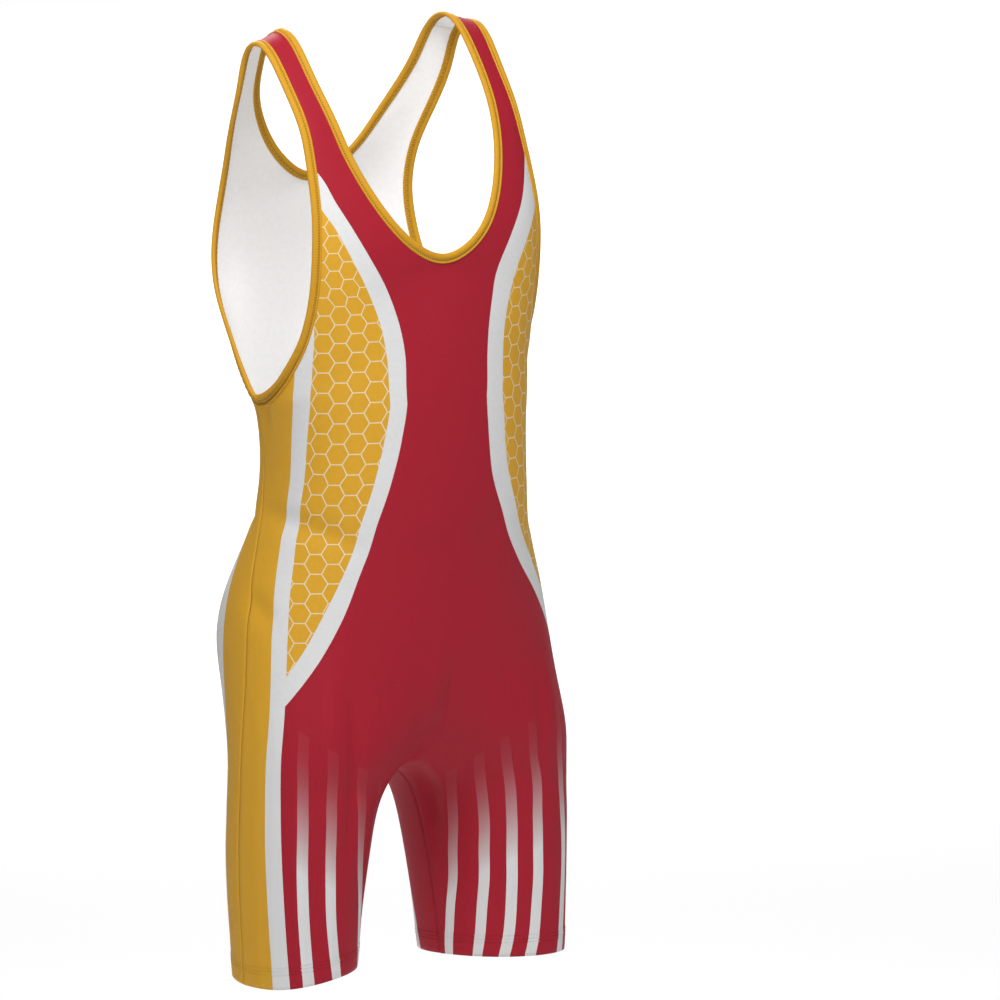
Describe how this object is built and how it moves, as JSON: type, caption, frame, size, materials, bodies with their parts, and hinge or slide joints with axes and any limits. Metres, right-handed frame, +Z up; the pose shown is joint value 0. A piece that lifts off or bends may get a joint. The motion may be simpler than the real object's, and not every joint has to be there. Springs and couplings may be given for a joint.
{
  "type": "wrestling singlet",
  "caption": "Sleeveless wrestling singlet with a scooped neck, deep armholes, bound edges and mid-thigh legs; hollow and filled out as when worn.",
  "frame": {"origin": "midway between the tops of the two shoulder straps", "axes": "+Z up to the shoulders, -Y out of the chest, +X to the wearer's left"},
  "size_m": [0.3452, 0.2365, 0.8637],
  "materials": {
    "panel_knit": "smooth printed polyester knit, faint sheen",
    "binding_knit": "matt folded knit band"
  },
  "bodies": {
    "root": {"front_panel": "panel_knit", "back_panel": "panel_knit", "neck_binding": "binding_knit", "armhole_binding_left": "binding_knit", "armhole_binding_right": "binding_knit"}
  },
  "joints": []
}
